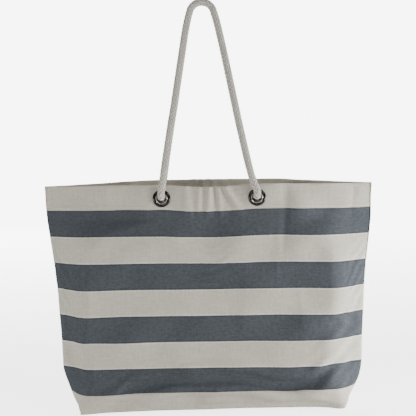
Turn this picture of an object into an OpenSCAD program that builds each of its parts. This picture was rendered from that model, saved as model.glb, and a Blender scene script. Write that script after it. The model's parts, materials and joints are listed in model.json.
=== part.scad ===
// Canvas beach bag with two rope handles, knotted inside four metal eyelets.
// Millimetres. +Z is up, the front of the bag faces -Y, and the origin is the
// middle of the base, on the surface that the bag stands on.

/* [Bag] */
// Height of the rim above the base
bag_h = 390; // [340:5:420]
// Length of the base, left to right
base_w = 446; // [400:2:480]
// Depth of the base, front to back
base_d = 115; // [90:1:140]
// Depth of the mouth, front to back
mouth_d = 68; // [64:1:80]
// Width of the mouth, side seam to side seam
mouth_w = 554; // [540:1:570]
// Width over the side seams at the top of the corner tucks
tuck_w = 512; // [490:1:530]
// Height of the corner tucks, where the sides fold in to the base
tuck_h = 77; // [60:1:90]
// Thickness of the canvas
cloth_t = 1.2; // [0.8:0.1:1.6]

/* [Hem and seams] */
// Height of the hem that is turned in at the mouth
hem_h = 42; // [38:1:46]
// Height of the upright collar that the eyelets sit in
collar_h = 55; // [50:1:60]
// Length of the flat middle of the collar, between its slanting ends
collar_flat = 220; // [200:2:230]
// Width of the tape that binds a seam
tape_w = 10; // [8:1:12]
// Thickness of a bound seam
tape_t = 2.4; // [1.6:0.2:3]

/* [Eyelets] */
// Distance between the two eyelets of a panel
eyelet_gap = 160; // [150:2:180]
// Distance of the eyelets' centres below the rim
eyelet_drop = 23; // [20:1:24]
// Outer diameter of an eyelet's ring
eyelet_d = 30; // [28:1:32]
// Diameter of the hole through an eyelet
eyelet_hole = 16.4; // [16:0.1:17]
// Height of the ring above the canvas
eyelet_crown = 3; // [2.5:0.1:3]

/* [Rope handles] */
// Diameter of the rope
rope_d = 12; // [10:0.5:12]
// Diameter of the stopper knot
knot_d = 34; // [28:1:36]

/* [Hidden] */
$fn = 48;

cream = "#c9c4b8";
slate = "#565b62";
rope_colour = "#d3cdc0";
gunmetal = "#3b3d40";

// Sides of the bag: left and right are the signs of X, front and back the signs of Y.
LEFT = -1;
RIGHT = 1;
FRONT = -1;
BACK = 1;

past = 20;                 // how far a cutting solid runs past what it cuts
reach = base_w;            // half the size of a half-space block
rope_r = rope_d / 2;
face_slope = (base_d - mouth_d) / 2 / (bag_h - collar_h);
tuck_corner = base_w / 2 - 10;

// Each level of the bag: height, half width at the side seam, half length of the
// flat face, and half depth. At the base the section is a rectangle.
levels = [
    [0, base_w / 2 + 0.5, base_w / 2, base_d / 2],
    [tuck_h, tuck_w / 2, tuck_corner, base_d / 2 - face_slope * tuck_h],
    [bag_h - collar_h, mouth_w / 2, collar_flat / 2, mouth_d / 2],
    [bag_h, mouth_w / 2, collar_flat / 2, mouth_d / 2]
];

// Eyelets, and the rope through them, which sits against the top of the hole.
eyelet_x = eyelet_gap / 2;
eyelet_z = bag_h - eyelet_drop;
eyelet_y = mouth_d / 2;
ring_r = (eyelet_d - eyelet_hole) / 4;
barrel_t = 1;
barrel_r = eyelet_hole / 2 + barrel_t;
washer_t = 1;
fit_gap = 0.1;             // between the barrel and what it passes through
lip_w = 2;                 // rolled end of the barrel, over the washer
hem_t = 2 * cloth_t;
rope_z = eyelet_z + eyelet_hole / 2 - rope_r - 0.3;

// A handle turns about the line through the two points where it leaves its eyelets.
clear = 0.4;
ball_r = rope_r + 0.3;     // round end of the rope, at the line it turns about
pivot_y = eyelet_y + eyelet_crown + rope_r + 1.6;

// The rope's middle line from one eyelet to the other: distance to the right of the
// bag's middle, and distance from the line that the handle turns about.
handle_route = [
    [-80, 0], [-77, 30], [-72.5, 60], [-67.5, 90], [-62.5, 120], [-57, 150],
    [-52, 180], [-47, 210], [-42, 240], [-37, 270], [-33, 290],
    [-28, 309], [-25, 315.5], [-18.5, 321.5], [-8.5, 324], [2, 321.5], [8.5, 315.5], [11.5, 309],
    [17, 290], [21.5, 270], [28, 240], [34, 210], [40, 180],
    [46, 150], [52, 120], [58.5, 90], [65, 60], [72.5, 30], [80, 0]
];
handle_reach = max([for (p = handle_route) p[1]]);
rope_sides = 12;

// The handles lean together until they all but touch at the top.
handle_tilt = asin((pivot_y - rope_r - clear) / handle_reach);

knot_t = eyelet_y - hem_t - washer_t - 3;
tail_len = 34;

// The outline of a level, with its walls moved in by the distance t.
function outline(level, t) =
    let (
        a = atan2(level[3], level[1] - level[2]),
        seam = level[1] - t / sin(a),
        face = level[3] - t,
        corner = level[1] - (t + cos(a) * face) / sin(a)
    )
    [[seam, 0], [corner, face], [-corner, face], [-seam, 0], [-corner, -face], [corner, -face]];

// The solid inside the bag's outer surface moved in by t, from z = t up past the rim by over.
module bag_volume(t, over = 0) {
    sides = 6;
    last = len(levels) - 1;
    z = [for (i = [0:last]) i == 0 ? t : levels[i][0] + (i == last ? over : 0)];
    points = [for (i = [0:last]) for (p = outline(levels[i], t)) [p[0], p[1], z[i]]];
    // Each wall's two triangles meet along the line from its lower corner to its upper seam.
    walls = [
        for (i = [0:last - 1])
            for (k = [0:sides - 1])
                let (a = i * sides + k, b = i * sides + (k + 1) % sides, c = a + sides, d = b + sides)
                each k % 3 == 0 ? [[a, c, b], [c, d, b]] : [[a, c, d], [a, d, b]]
    ];
    bottom = [for (k = [0:sides - 1]) k];
    top = [for (k = [sides - 1:-1:0]) last * sides + k];
    polyhedron(points, concat(walls, [bottom, top]));
}

// The half of space in front of or behind the seams, between two heights.
module half_space(side, z0, z1) {
    translate([-reach, side == FRONT ? -reach : 0, z0])
        cube([2 * reach, reach, z1 - z0]);
}

// The four eyelets' holes, cut along Y with radius r.
module eyelet_holes(r) {
    for (side = [LEFT, RIGHT])
        translate([side * eyelet_x, 0, eyelet_z])
            rotate([90, 0, 0])
                cylinder(r = r, h = 4 * mouth_d, center = true);
}

// One canvas panel: its face, half of each side, and half of the base.
module panel(side) {
    color(slate)
        difference() {
            intersection() {
                bag_volume(0);
                half_space(side, -past, bag_h + past);
            }
            bag_volume(cloth_t, past);
            eyelet_holes(barrel_r + fit_gap);
        }
}

// The hem of one panel, turned in and lying flat against its inner face.
module hem_facing(side) {
    color(cream)
        difference() {
            intersection() {
                bag_volume(cloth_t);
                half_space(side, bag_h - hem_h, bag_h);
            }
            bag_volume(hem_t, past);
            eyelet_holes(barrel_r + fit_gap);
        }
}

// The bound allowance of a side seam, standing into the bag below the hem.
module side_seam_tape(side) {
    top = bag_h - hem_h;
    bottom = cloth_t + tape_t;
    color(cream)
        intersection() {
            difference() {
                bag_volume(cloth_t);
                translate([-side * (tape_w + 3), 0, 0])
                    bag_volume(cloth_t, past);
            }
            translate([side * reach / 2, 0, (top + bottom) / 2])
                cube([reach, tape_t, top - bottom], center = true);
        }
}

// The bound allowance of the bottom seam, pressed flat along the middle of the base.
module bottom_seam_tape() {
    len = base_w - 2 * (cloth_t + tape_w + 1);
    color(cream)
        translate([0, 0, cloth_t + tape_t / 2])
            cube([len, tape_w, tape_t], center = true);
}

// The bound allowance of the seam that boxes a corner, across one end of the base.
module corner_seam_tape(side) {
    color(cream)
        translate([side * (base_w / 2 - cloth_t - 0.5 - tape_w / 2), 0, cloth_t + tape_t / 2])
            cube([tape_w, base_d - 2 * cloth_t - 1, tape_t], center = true);
}

// Places what is drawn about +Z, with z = 0 on the canvas and +Z outwards, at an eyelet.
module at_eyelet(side, face) {
    translate([side * eyelet_x, face * eyelet_y, eyelet_z])
        rotate([face == FRONT ? 90 : -90, 0, 0])
            children();
}

// An eyelet's ring, with the barrel that goes through the hem and rolls over the washer.
module eyelet(side, face) {
    hole_r = eyelet_hole / 2;
    inner = -hem_t - washer_t;
    color(gunmetal)
        at_eyelet(side, face)
            rotate_extrude() {
                intersection() {
                    translate([hole_r + ring_r, eyelet_crown - ring_r])
                        circle(ring_r);
                    square([eyelet_d, eyelet_crown + 1]);
                }
                translate([hole_r, inner - barrel_t])
                    square([barrel_t, -inner + barrel_t + 0.5]);
                translate([hole_r, inner - barrel_t])
                    square([barrel_t + lip_w, barrel_t]);
            }
}

// The washer that the barrel grips, on the inner face of the hem.
module washer(side, face) {
    color(gunmetal)
        at_eyelet(side, face)
            translate([0, 0, -hem_t - washer_t])
                difference() {
                    cylinder(d = eyelet_d - 1, h = washer_t);
                    translate([0, 0, -past / 2])
                        cylinder(r = barrel_r + fit_gap, h = past);
                }
}

// A stopper knot with the neck of rope that runs out through the eyelet, and its tail.
module knot(side, face) {
    lip_y = hem_t + washer_t + barrel_t + fit_gap;
    middle = -lip_y - knot_t / 2;
    neck_end = pivot_y - ball_r - clear - eyelet_y;
    color(rope_colour)
        translate([side * eyelet_x, face * eyelet_y, rope_z])
            rotate([face == FRONT ? 90 : -90, 0, 0]) {
                translate([0, 0, middle])
                    cylinder(r = rope_r - 0.1, h = neck_end - middle);
                translate([0, 0, middle])
                    intersection() {
                        sphere(d = knot_d);
                        cube([2 * knot_d, 2 * knot_d, knot_t], center = true);
                    }
                translate([0, 0, middle])
                    rotate([face == FRONT ? 90 : -90, 0, 0])
                        cylinder(r = rope_r, h = tail_len);
            }
}

function unit(v) = v / norm(v);

// A round tube along a route of [x, z] points, mitred at each point.
module tube(route, r, sides) {
    last = len(route) - 1;
    points = [
        for (i = [0:last])
            let (
                from = max(i, 1),
                to = min(i, last - 1),
                before = unit(route[from] - route[from - 1]),
                along = unit(before + unit(route[to + 1] - route[to])),
                wide = r / (along * before)
            )
            for (k = [0:sides - 1])
                let (a = 360 * k / sides)
                [
                    route[i][0] + wide * cos(a) * along[1],
                    r * sin(a),
                    route[i][1] - wide * cos(a) * along[0]
                ]
    ];
    walls = [
        for (i = [0:last - 1])
            for (k = [0:sides - 1])
                let (a = i * sides + k, b = i * sides + (k + 1) % sides)
                [a, a + sides, b + sides, b]
    ];
    start = [for (k = [0:sides - 1]) k];
    end = [for (k = [sides - 1:-1:0]) last * sides + k];
    polyhedron(points, concat(walls, [start, end]));
}

// One handle's loop of rope, from eyelet to eyelet, leaning in over the mouth.
module rope(face) {
    color(rope_colour)
        translate([0, face * pivot_y, rope_z])
            rotate([face * handle_tilt, 0, 0]) {
                tube(handle_route, rope_r, rope_sides);
                for (side = [LEFT, RIGHT])
                    translate([side * eyelet_x, 0, 0])
                        sphere(r = ball_r);
            }
}

panel(FRONT);  // front_panel
panel(BACK);  // back_panel
hem_facing(FRONT);  // front_hem_facing
hem_facing(BACK);  // back_hem_facing
side_seam_tape(LEFT);  // left_side_seam_tape
side_seam_tape(RIGHT);  // right_side_seam_tape
bottom_seam_tape();
corner_seam_tape(LEFT);  // left_corner_seam_tape
corner_seam_tape(RIGHT);  // right_corner_seam_tape
eyelet(LEFT, FRONT);  // front_left_eyelet
eyelet(RIGHT, FRONT);  // front_right_eyelet
eyelet(LEFT, BACK);  // back_left_eyelet
eyelet(RIGHT, BACK);  // back_right_eyelet
washer(LEFT, FRONT);  // front_left_washer
washer(RIGHT, FRONT);  // front_right_washer
washer(LEFT, BACK);  // back_left_washer
washer(RIGHT, BACK);  // back_right_washer
knot(LEFT, FRONT);  // front_left_knot
knot(RIGHT, FRONT);  // front_right_knot
knot(LEFT, BACK);  // back_left_knot
knot(RIGHT, BACK);  // back_right_knot
rope(FRONT);  // front_rope
rope(BACK);  // back_rope
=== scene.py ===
import json
import math

import bpy
import numpy as np
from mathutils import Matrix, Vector


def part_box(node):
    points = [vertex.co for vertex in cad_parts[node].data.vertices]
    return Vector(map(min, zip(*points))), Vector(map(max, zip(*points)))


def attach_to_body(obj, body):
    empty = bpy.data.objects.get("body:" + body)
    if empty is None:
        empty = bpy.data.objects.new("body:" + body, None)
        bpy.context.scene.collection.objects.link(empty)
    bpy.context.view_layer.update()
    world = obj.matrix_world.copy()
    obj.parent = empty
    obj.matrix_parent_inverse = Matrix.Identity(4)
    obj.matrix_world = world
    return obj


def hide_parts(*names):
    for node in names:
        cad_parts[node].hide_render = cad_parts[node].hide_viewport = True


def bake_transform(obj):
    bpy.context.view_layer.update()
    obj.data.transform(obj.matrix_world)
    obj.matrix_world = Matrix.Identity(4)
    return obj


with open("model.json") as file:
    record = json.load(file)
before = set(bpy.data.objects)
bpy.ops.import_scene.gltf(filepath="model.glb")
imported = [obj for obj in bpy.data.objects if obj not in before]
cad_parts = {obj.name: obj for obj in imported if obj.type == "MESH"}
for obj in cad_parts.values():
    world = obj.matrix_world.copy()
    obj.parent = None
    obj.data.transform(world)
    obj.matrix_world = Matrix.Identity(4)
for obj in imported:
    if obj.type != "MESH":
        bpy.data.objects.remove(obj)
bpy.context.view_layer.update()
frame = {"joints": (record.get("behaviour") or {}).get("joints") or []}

# ---------------------------------------------------------------------------
# Sizes, in metres. What the frame doesn't give repeats part.scad's dimensions.
# ---------------------------------------------------------------------------

PANEL_LOW, PANEL_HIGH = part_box("front_panel")
RIM_Z = PANEL_HIGH.z
MOUTH_HALF_W = PANEL_HIGH.x
BASE_HALF_D = -PANEL_LOW.y
BASE_HALF_W = 0.223
FLAT_HALF_W = BASE_HALF_W + BASE_HALF_D     # half the width that a panel is cut to
FLAT_H = RIM_Z                              # from the rim down to the base's edge

EYELET_LOW, EYELET_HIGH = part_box("front_right_eyelet")
EYELET_X = (EYELET_LOW.x + EYELET_HIGH.x) / 2
EYELET_Z = (EYELET_LOW.z + EYELET_HIGH.z) / 2
EYELET_R = (EYELET_HIGH.x - EYELET_LOW.x) / 2
EYELET_HOLE_R = 0.0082
CROWN = 0.003
MOUTH_HALF_D = -EYELET_LOW.y - CROWN

CLOTH_T = 0.0009
HEM_H = 0.042
HEM_T = 0.0024
WASHER_T = 0.001
TAPE_W = 0.010
ROPE_D = 0.012
GATHER_HALF_W = 0.064                       # the rim is gathered between the handle's legs
CUT_R = 0.0112                              # the cloth is cut away this far round an eyelet's middle
SWING_Y = -frame["joints"][0]["pos_m"][1]
SWING_Z = frame["joints"][0]["pos_m"][2]

FRONT = -1
BACK = 1
FACES = {"front": FRONT, "back": BACK}
SIDES = {"left": -1, "right": 1}

# The rope's middle line in its own plane: distance to the right of the bag's middle,
# and distance from the line that the handle turns about.
HANDLE_ROUTE = [
    (-0.080, 0), (-0.077, 0.030), (-0.0725, 0.060), (-0.0675, 0.090), (-0.0625, 0.120),
    (-0.057, 0.150), (-0.052, 0.180), (-0.047, 0.210), (-0.042, 0.240), (-0.037, 0.270),
    (-0.033, 0.290), (-0.028, 0.309), (-0.025, 0.3155), (-0.0185, 0.3215), (-0.0085, 0.324),
    (0.002, 0.3215), (0.0085, 0.3155), (0.0115, 0.309), (0.017, 0.290), (0.0215, 0.270),
    (0.028, 0.240), (0.034, 0.210), (0.040, 0.180), (0.046, 0.150), (0.052, 0.120),
    (0.0585, 0.090), (0.065, 0.060), (0.0725, 0.030), (0.080, 0),
]
HANDLE_TILT = math.asin((SWING_Y - ROPE_D / 2 - 0.0004) / max(p[1] for p in HANDLE_ROUTE))


# ---------------------------------------------------------------------------
# Mesh helpers
# ---------------------------------------------------------------------------

def mesh_piece(name, points, faces, materials, uv=None, slots=None):
    """A smooth-shaded mesh object. uv gives each point a place on its flat cloth or strand."""
    mesh = bpy.data.meshes.new(name)
    mesh.from_pydata([tuple(p) for p in points], [], [tuple(f) for f in faces])
    for material in materials:
        mesh.materials.append(material)
    mesh.polygons.foreach_set("use_smooth", [True] * len(mesh.polygons))
    if slots is not None:
        mesh.polygons.foreach_set("material_index", slots)
    if uv is not None:
        layer = mesh.uv_layers.new(name="flat")
        corners = np.zeros(len(mesh.loops), np.int32)
        mesh.loops.foreach_get("vertex_index", corners)
        layer.data.foreach_set("uv", np.asarray(uv, np.float32)[corners].ravel())
    mesh.update()
    piece = bpy.data.objects.new(name, mesh)
    bpy.context.scene.collection.objects.link(piece)
    return piece


def grid_faces(rows, cols, closed_rows=False, closed_cols=False, first=0):
    """The quads of a grid of points numbered row by row."""
    faces = []
    for r in range(rows if closed_rows else rows - 1):
        for c in range(cols if closed_cols else cols - 1):
            below = (r + 1) % rows
            right = (c + 1) % cols
            faces.append((
                first + r * cols + c,
                first + r * cols + right,
                first + below * cols + right,
                first + below * cols + c,
            ))
    return faces


def tube_faces(rows, cols, first=0):
    """The quads of a tube made of rings of points, and a cap at each end."""
    last = first + (rows - 1) * cols
    caps = [tuple(range(first, first + cols)), tuple(reversed(range(last, last + cols)))]
    return grid_faces(rows, cols, closed_cols=True, first=first) + caps


def turned(faces):
    """The same faces, seen from the other side."""
    return [tuple(reversed(face)) for face in faces]


def circle(count):
    """The cosine and sine of even angles once round."""
    return [(math.cos(a), math.sin(a)) for a in np.linspace(0, 2 * math.pi, count, endpoint=False)]


def unit(vectors):
    """Vectors in the same directions, one long."""
    return vectors / np.linalg.norm(vectors, axis=-1)[..., None]


def run_along(line):
    """How far along a line each of its points is."""
    return np.concatenate([[0], np.cumsum(np.linalg.norm(np.diff(line, axis=0), axis=1))])


def smooth_step(x):
    """Rises smoothly from 0 to 1 as x does."""
    x = np.clip(x, 0, 1)
    return x * x * (3 - 2 * x)


def attach(piece, slot, *nodes):
    """Fixes a piece to the bag, and hides the CAD nodes that it stands for. Its finish, slot, is not used."""
    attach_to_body(piece, "bag")
    if nodes:
        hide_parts(*nodes)


def even_path(points, step):
    """A smooth curve through points, cut into even steps."""
    points = np.asarray(points, float)
    ends = np.vstack([2 * points[0] - points[1], points, 2 * points[-1] - points[-2]])
    t = np.linspace(0, 1, 12, endpoint=False)[:, None]
    curve = []
    for a, b, c, d in zip(ends, ends[1:], ends[2:], ends[3:]):
        curve.append(0.5 * (2 * b + (c - a) * t + (2 * a - 5 * b + 4 * c - d) * t**2
                            + (3 * b - a - 3 * c + d) * t**3))
    curve = np.vstack(curve + [points[-1:]])
    run = run_along(curve)
    at = np.linspace(0, run[-1], max(2, round(run[-1] / step)) + 1)
    return np.column_stack([np.interp(at, run, curve[:, k]) for k in range(3)]), at


def carried_frames(path):
    """Two directions across a path at each point, carried along it without twisting."""
    along = unit(np.gradient(path, axis=0))
    start = np.cross(along[0], (0, 0, 1) if abs(along[0][2]) < 0.9 else (1, 0, 0))
    across = [start / np.linalg.norm(start)]
    for direction in along[1:]:
        side = across[-1] - direction * np.dot(across[-1], direction)
        across.append(side / np.linalg.norm(side))
    across = np.array(across)
    return across, np.cross(along, across)


# ---------------------------------------------------------------------------
# Camera, first of all
# ---------------------------------------------------------------------------

CAMERA_ELEVATION = math.radians(8.5)
CAMERA_ROLL = math.radians(-0.85)
CAMERA_DISTANCE = 2.0
CAMERA_AIM = Vector((-0.0024, 0, 0.3447))
CAMERA_LENS = 101.5


def place_camera():
    camera = bpy.data.objects.new("camera", bpy.data.cameras.new("camera"))
    bpy.context.scene.collection.objects.link(camera)
    bpy.context.scene.camera = camera
    away = Vector((0, -math.cos(CAMERA_ELEVATION), math.sin(CAMERA_ELEVATION)))
    camera.location = CAMERA_AIM + away * CAMERA_DISTANCE
    camera.rotation_mode = "QUATERNION"
    camera.rotation_quaternion = (-away).to_track_quat("-Z", "Y")
    camera.rotation_mode = "XYZ"
    camera.rotation_euler.rotate_axis("Z", CAMERA_ROLL)
    camera.data.lens = CAMERA_LENS
    camera.data.sensor_width = 36


# ---------------------------------------------------------------------------
# Materials
# ---------------------------------------------------------------------------

class Nodes:
    """Short ways to build a material's node tree."""

    def __init__(self, name):
        self.material = bpy.data.materials.new(name)
        self.material.use_nodes = True
        self.tree = self.material.node_tree
        self.shader = self.tree.nodes["Principled BSDF"]

    def add(self, kind, **values):
        node = self.tree.nodes.new(kind)
        for key, value in values.items():
            setattr(node, key, value)
        return node

    def feed(self, socket, value):
        if isinstance(value, bpy.types.NodeSocket):
            self.tree.links.new(value, socket)
        else:
            socket.default_value = value

    def math(self, operation, *values):
        node = self.add("ShaderNodeMath", operation=operation)
        for socket, value in zip(node.inputs, values):
            self.feed(socket, value)
        return node.outputs[0]

    def times(self, *values):
        product = values[0]
        for value in values[1:]:
            product = self.math("MULTIPLY", product, value)
        return product

    def vector(self, *values):
        node = self.add("ShaderNodeCombineXYZ")
        for socket, value in zip(node.inputs, values):
            self.feed(socket, value)
        return node.outputs[0]

    def mix(self, factor, a, b, blend="MIX"):
        node = self.add("ShaderNodeMix", data_type="RGBA", blend_type=blend)
        self.feed(node.inputs[0], factor)
        self.feed(node.inputs[6], a)
        self.feed(node.inputs[7], b)
        return node.outputs[2]

    def shade(self, tint, amount, blue_amount=None):
        """A colour times an amount. The blue channel may have an amount of its own."""
        blue_amount = amount if blue_amount is None else blue_amount
        return self.mix(1.0, tint, self.vector(amount, amount, blue_amount), "MULTIPLY")

    def noise(self, place, scale, detail=2.0, roughness=0.5):
        node = self.add("ShaderNodeTexNoise")
        self.feed(node.inputs["Vector"], place)
        node.inputs["Scale"].default_value = scale
        node.inputs["Detail"].default_value = detail
        node.inputs["Roughness"].default_value = roughness
        return node.outputs["Fac"]

    def spread(self, value, low, high, to_low, to_high):
        node = self.add("ShaderNodeMapRange")
        for socket, number in zip(node.inputs, (value, low, high, to_low, to_high)):
            self.feed(socket, number)
        return node.outputs[0]

    def flat_uv(self):
        """The flat cloth's coordinates, in metres."""
        split = self.add("ShaderNodeSeparateXYZ")
        place = self.add("ShaderNodeUVMap", uv_map="flat").outputs[0]
        self.feed(split.inputs[0], place)
        return place, split.outputs[0], split.outputs[1]

    def bump(self, height, distance, strength=1.0, under=None):
        node = self.add("ShaderNodeBump")
        node.inputs["Distance"].default_value = distance
        node.inputs["Strength"].default_value = strength
        self.feed(node.inputs["Height"], height)
        if under is not None:
            self.feed(node.inputs["Normal"], under)
        return node.outputs[0]

    def set(self, **values):
        for name, value in values.items():
            self.feed(self.shader.inputs[name.replace("_", " ")], value)
        return self.material


def colour(r, g, b):
    return (r, g, b, 1)


def plain_weave(n, u, v, pitch):
    """The height of a plain weave, 0 to 1, and how much of the warp shows."""
    across = n.math("DIVIDE", u, pitch)
    down = n.math("DIVIDE", v, pitch)
    column = n.math("FLOOR", across)
    row = n.math("FLOOR", down)
    turn_down = n.math("SINE", n.times(n.math("ADD", down, column), math.pi))
    turn_across = n.math("SINE", n.times(n.math("ADD", across, row), math.pi))
    warp_round = n.math("ABSOLUTE", n.math("SINE", n.times(across, math.pi)))
    weft_round = n.math("ABSOLUTE", n.math("SINE", n.times(down, math.pi)))
    warp = n.times(warp_round, n.spread(turn_down, -1, 1, 0.15, 1))
    weft = n.times(weft_round, n.spread(turn_across, -1, 1, 1, 0.15))
    return n.math("MAXIMUM", warp, weft), n.math("GREATER_THAN", warp, weft)


STRIPE = 0.045
STRIPE_COUNT = 7
WEAVE_PITCH = 0.00075
CREAM = (0.60, 0.560, 0.485)
SLATE = (0.075, 0.083, 0.094)
# Painted lines along a dark stripe's edge: a light line just outside it, a painted highlight, and a dark line
# just inside it, a painted shade. Each gives place, share, colour.
STRIPE_EDGE_HIGHLIGHT_AND_SHADE = ((0.0013, 0.34, (1, 0.98, 0.94)), (-0.0013, 0.30, (0.02, 0.022, 0.026)))


def woven_stripes(n, place, u, v, tint):
    """Dark stripes across the cloth below the hem, with a heather and slightly uneven edges."""
    wander = n.times(n.math("SUBTRACT", n.noise(place, 260), 0.5), 0.0007)
    down = n.math("ADD", n.math("SUBTRACT", v, HEM_H), wander)
    phase = n.math("PINGPONG", n.math("SUBTRACT", down, STRIPE / 2), STRIPE)
    edge = n.spread(phase, STRIPE / 2 - 0.0003, STRIPE / 2 + 0.0003, 1, 0)
    inside = n.times(n.math("GREATER_THAN", down, 0), n.math("LESS_THAN", down, STRIPE_COUNT * STRIPE))
    dark = n.times(edge, inside)
    tint = n.mix(dark, tint, colour(*SLATE))
    # A painted highlight line outside each stripe's edge, and a painted shade line inside it.
    for offset, most, painted_line_tint in STRIPE_EDGE_HIGHLIGHT_AND_SHADE:
        beside = n.math("ABSOLUTE", n.math("SUBTRACT", phase, STRIPE / 2 + offset))
        share = n.times(n.spread(beside, 0.0005, 0.0013, most, 0), inside)
        tint = n.mix(share, tint, colour(*painted_line_tint))
    heather = n.noise(n.vector(n.times(u, 150), n.times(v, 360), 7), 1, 2, 0.6)
    heather = n.times(dark, n.spread(heather, 0.36, 0.64, 0, 1), 0.07)
    return n.mix(heather, tint, colour(0.30, 0.33, 0.38))


def cloth_material(name, striped, cream=CREAM):
    """Cotton canvas: plain weave, slubs, soft colour changes, and woven stripes."""
    n = Nodes(name)
    place, u, v = n.flat_uv()
    height, warp = plain_weave(n, u, v, WEAVE_PITCH)
    slub_across = n.noise(n.vector(n.times(u, 30), n.times(v, 900), 0), 1)
    slub_down = n.noise(n.vector(n.times(u, 900), n.times(v, 30), 3), 1)
    slub = n.times(n.math("ADD", slub_across, slub_down), 0.5)
    cloud = n.noise(place, 14, 3)
    tint = colour(*cream)
    if striped:
        tint = woven_stripes(n, place, u, v, tint)
    tint = n.shade(tint, n.spread(slub, 0.3, 0.7, 0.86, 1.12))
    patch = n.times(
        n.spread(cloud, 0.3, 0.7, 0.94, 1.03), n.spread(n.noise(place, 170, 2, 0.6), 0.35, 0.65, 0.94, 1.05),
    )
    tint = n.shade(tint, patch, n.times(patch, 0.985))
    tint = n.shade(tint, n.spread(warp, 0, 1, 0.96, 1.03))
    # Darker where the weave is low: painted shade in the hollows between the yarns.
    tint = n.shade(tint, n.spread(height, 0.15, 0.8, 0.72, 1.03))
    relief = n.bump(slub, 0.0003, 0.5)
    relief = n.bump(height, 0.00022, 0.7, relief)
    return n.set(Base_Color=tint, Roughness=0.95, Normal=relief, Specular_IOR_Level=0)


STRAND_STEP = 0.01      # the strands' middles are this far apart in a rope's flat coordinates


def rope_material(name, tint, darker=1.0, edge=0.30):
    """Braided cotton: fine yarns that run along each strand. Each strand is painted darker towards its edges,
    as shade in the crevices where strands meet, and a touch lighter along its top, a faint painted highlight.
    """
    n = Nodes(name)
    place, u, v = n.flat_uv()
    yarn = n.math("SINE", n.math("ADD", n.times(u, 5200), n.times(v, 1500)))
    fibre = n.noise(n.vector(n.times(u, 2500), n.times(v, 260), 0), 1, 3)
    cloud = n.noise(place, 30, 3)
    # How far a point lies from its strand's middle: the edge factor paints shade towards the strand's edges.
    aside = n.math("PINGPONG", u, STRAND_STEP / 2)
    amount = n.times(
        n.spread(yarn, -1, 1, 0.86 * darker, 1.03 * darker), n.spread(fibre, 0.3, 0.7, 0.88, 1.08),
        n.spread(cloud, 0.3, 0.7, 0.95, 1.04), n.spread(aside, 0.0007, 0.0017, 1.06, edge),
    )
    base = n.shade(colour(*tint), amount)
    relief = n.bump(fibre, 0.0002, 0.5)
    relief = n.bump(yarn, 0.00018, 0.6, relief)
    return n.set(Base_Color=base, Roughness=0.9, Normal=relief, Sheen_Weight=0.2, Sheen_Roughness=0.5)


def metal_material(name, dark, light):
    """Nickel plate, polished, with fine turning marks and a little wear."""
    n = Nodes(name)
    place = n.add("ShaderNodeTexCoord").outputs["Object"]
    fine_marks = n.noise(place, 900, 2)
    broad = n.noise(place, 60, 3)
    tint = n.mix(n.spread(broad, 0.4, 0.7, 0, 1), colour(*dark), colour(*light))
    rough = n.spread(broad, 0.3, 0.7, 0.12, 0.22)
    return n.set(
        Base_Color=tint, Metallic=1.0, Roughness=rough, Normal=n.bump(fine_marks, 0.00003, 0.25),
    )


def floor_material():
    """Pale studio floor that rises into a backdrop. The camera sees it glow white, as paper lit from
    below does, and it lights the bag only a little."""
    n = Nodes("studio_floor")
    place = n.add("ShaderNodeTexCoord").outputs["Object"]
    split = n.add("ShaderNodeSeparateXYZ")
    n.feed(split.inputs[0], place)
    away = n.add("ShaderNodeVectorMath", operation="LENGTH")
    n.feed(away.inputs[0], place)
    grain = n.spread(n.noise(place, 3, 2), 0.3, 0.7, 0.80, 0.82)
    far = n.spread(split.outputs[1], 0.3, 1.8, 0, 1)
    near = n.spread(away.outputs["Value"], 0.3, 1.1, 0.35, 0.1)
    seen_glow = n.math("ADD", n.times(far, 3.5), 3.4)
    cast_glow = n.math("ADD", n.times(far, 0.6), near)
    seen = n.add("ShaderNodeLightPath").outputs["Is Camera Ray"]
    glow = n.spread(seen, 0, 1, cast_glow, seen_glow)
    return n.set(
        Base_Color=n.vector(grain, grain, grain), Roughness=0.85,
        Emission_Color=colour(1, 1, 1), Emission_Strength=glow,
    )


canvas = cloth_material("striped_canvas", True)
inside_canvas = cloth_material("inside_canvas", False, (0.60, 0.545, 0.460))
tape = cloth_material("cotton_tape", False, (0.56, 0.52, 0.45))
# The strands get painted shade at their edges, from the default edge factor. The core and the thread get
# none.
rope_strands = rope_material("rope_cotton", (0.70, 0.655, 0.575))
# The core is near black so that the gaps between the strands look dark: painted shade.
rope_core = rope_material("rope_core", (0.12, 0.11, 0.09), 0.8, edge=1.0)
thread = rope_material("sewing_thread", (0.66, 0.63, 0.57), edge=1.0)
metal = metal_material("dark_nickel", (0.035, 0.036, 0.038), (0.060, 0.059, 0.056))
# A lighter copy of the nickel for the crown's inner slope: a painted highlight, not wear.
highlight_metal = metal_material("worn_nickel", (0.70, 0.68, 0.64), (0.80, 0.78, 0.74))


# ---------------------------------------------------------------------------
# The ropes
# ---------------------------------------------------------------------------

def handle_point(face, x, reach):
    """A point of a handle's own plane, in the row frame."""
    y = SWING_Y - reach * math.sin(HANDLE_TILT)
    return (x, face * y, SWING_Z + reach * math.cos(HANDLE_TILT))


def rope_path(face):
    """From inside one eyelet, out and up over the handle, and back in at the other."""
    inner = MOUTH_HALF_D - HEM_T - WASHER_T - 0.004
    bend = (
        (inner, 0), (0.0285, 0), (0.0335, 0.0002), (0.0382, 0.0016), (0.0415, 0.0050), (0.0430, 0.0100),
    )
    start = [(HANDLE_ROUTE[0][0], face * y, SWING_Z + z) for y, z in bend]
    end = [(HANDLE_ROUTE[-1][0], face * y, SWING_Z + z) for y, z in reversed(bend)]
    legs = [handle_point(face, x, reach) for x, reach in HANDLE_ROUTE[1:-1]]
    return start + legs + end


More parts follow.
